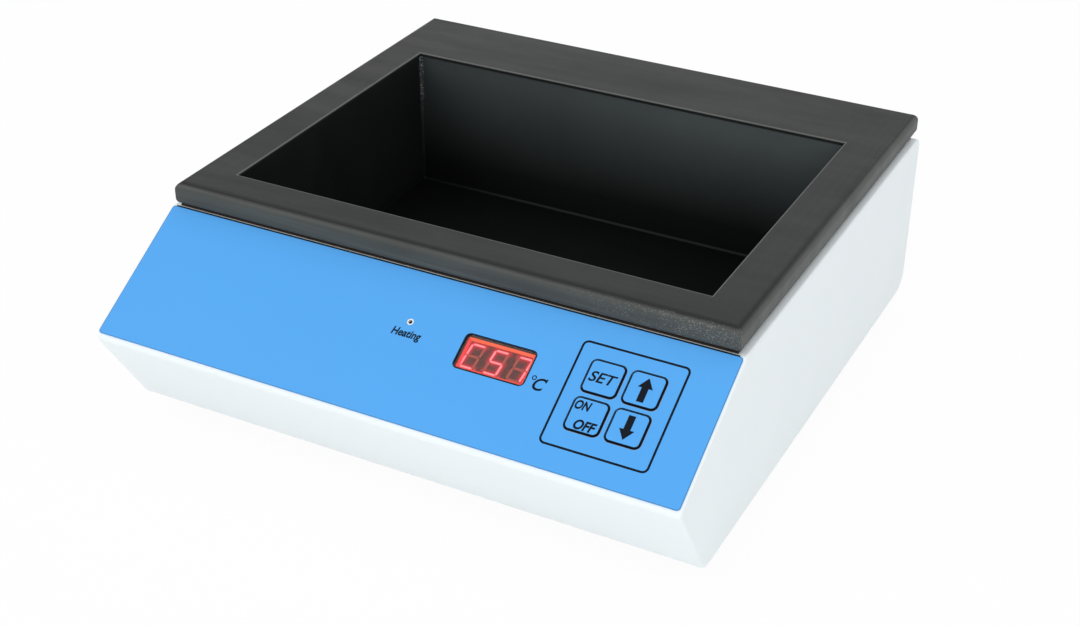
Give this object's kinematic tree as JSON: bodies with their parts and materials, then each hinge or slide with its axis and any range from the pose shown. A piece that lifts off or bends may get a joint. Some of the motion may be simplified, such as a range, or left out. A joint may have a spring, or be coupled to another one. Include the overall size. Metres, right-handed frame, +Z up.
{
  "type": "laboratory water bath",
  "caption": "Bench-top water bath: black rimmed basin in a white sheet-steel housing, with a sloped panel of keys and a digital display, and a mains inlet behind.",
  "frame": {"origin": "on the bench, under the middle of the overall width and depth", "axes": "+X to the right seen from the front, +Y to the back, +Z up"},
  "size_m": [0.326, 0.3412, 0.1217],
  "materials": {
    "white_paint": "satin powder coat",
    "black_coating": "matt black coating",
    "basin_coating": "matt black coating",
    "zinc_sheet": "zinc plated sheet",
    "fastener_steel": "zinc plated",
    "black_rubber": "matt",
    "tan_foam": "closed-cell foam",
    "blue_film": "satin polycarbonate film",
    "red_filter": "clear red filter",
    "display_plastic": "matt",
    "lamp_plastic": "clear lens",
    "white_nylon": "nylon",
    "black_plastic": "moulded",
    "board_laminate": "solder mask",
    "core_steel": "laminated",
    "winding_tape": "yellow tape",
    "sink_aluminium": "extruded",
    "terminal_green": "moulded",
    "heater_silicone": "silicone rubber",
    "ceramic_blanket": "ceramic fibre",
    "nickel": "nickel plated",
    "fuse_glass": "glass tube",
    "ribbon_plastic": "grey ribbon",
    "lead_black": "PVC sheath",
    "wire_white": "silicone"
  },
  "bodies": {
    "root": {"base_plate": "zinc_sheet", "base_screws": "fastener_steel", "basin": "basin_coating", "board_pillars": "fastener_steel", "board_screws": "fastener_steel", "buzzer": "black_plastic", "clamp_nuts": "fastener_steel", "clamp_studs": "fastener_steel", "control_board": "board_laminate", "control_chip": "black_plastic", "cutout_thermostat": "nickel", "display_module": "display_plastic", "display_window": "red_filter", "earth_stud": "fastener_steel", "filter_capacitor": "black_plastic", "foot_back_left": "black_rubber", "foot_back_right": "black_rubber", "foot_front_left": "black_rubber", "foot_front_right": "black_rubber", "foot_nuts": "fastener_steel", "foot_screws": "fastener_steel", "heat_sink": "sink_aluminium", "heater_clamp_plate": "zinc_sheet", "heater_insulation": "ceramic_blanket", "heater_mat": "heater_silicone", "heater_wires": "wire_white", "heating_lamp": "lamp_plastic", "housing": "white_paint", "inlet_body": "black_plastic", "inlet_nuts": "fastener_steel", "inlet_pins": "nickel", "inlet_screws": "fastener_steel", "lamp_spacer": "white_nylon", "mains_lead": "lead_black", "panel_overlay": "blue_film", "power_board": "board_laminate", "power_board_spacers": "white_nylon", "ribbon_cable": "ribbon_plastic", "rim_gasket": "tan_foam", "rim_nuts": "fastener_steel", "rim_studs": "fastener_steel", "sensor_clip": "zinc_sheet", "tact_switches": "black_plastic", "temperature_sensor": "nickel", "terminal_block": "terminal_green", "top_rim": "black_coating", "transformer_core": "core_steel", "transformer_winding": "winding_tape", "triac": "black_plastic"},
    "set_button": {"set_key": "blue_film", "set_plunger": "black_plastic"},
    "up_button": {"up_key": "blue_film", "up_plunger": "black_plastic"},
    "on_off_button": {"on_off_key": "blue_film", "on_off_plunger": "black_plastic"},
    "down_button": {"down_key": "blue_film", "down_plunger": "black_plastic"},
    "fuse_carrier": {"fuse_drawer": "black_plastic", "fuses": "fuse_glass"}
  },
  "joints": [
    {"name": "set_press", "type": "slide", "parent": "root", "child": "set_button", "axis": [0, 0.5085, -0.861], "range_m": [0, 0.0004], "stiffness_N_per_m": 3000, "springref_m": -0.0003},
    {"name": "up_press", "type": "slide", "parent": "root", "child": "up_button", "axis": [0, 0.5085, -0.861], "range_m": [0, 0.0004], "stiffness_N_per_m": 3000, "springref_m": -0.0003},
    {"name": "on_off_press", "type": "slide", "parent": "root", "child": "on_off_button", "axis": [0, 0.5085, -0.861], "range_m": [0, 0.0004], "stiffness_N_per_m": 3000, "springref_m": -0.0003},
    {"name": "down_press", "type": "slide", "parent": "root", "child": "down_button", "axis": [0, 0.5085, -0.861], "range_m": [0, 0.0004], "stiffness_N_per_m": 3000, "springref_m": -0.0003},
    {"name": "fuse_drawer_slide", "type": "slide", "parent": "root", "child": "fuse_carrier", "axis": [0, 1, 0], "range_m": [0, 0.02]}
  ]
}
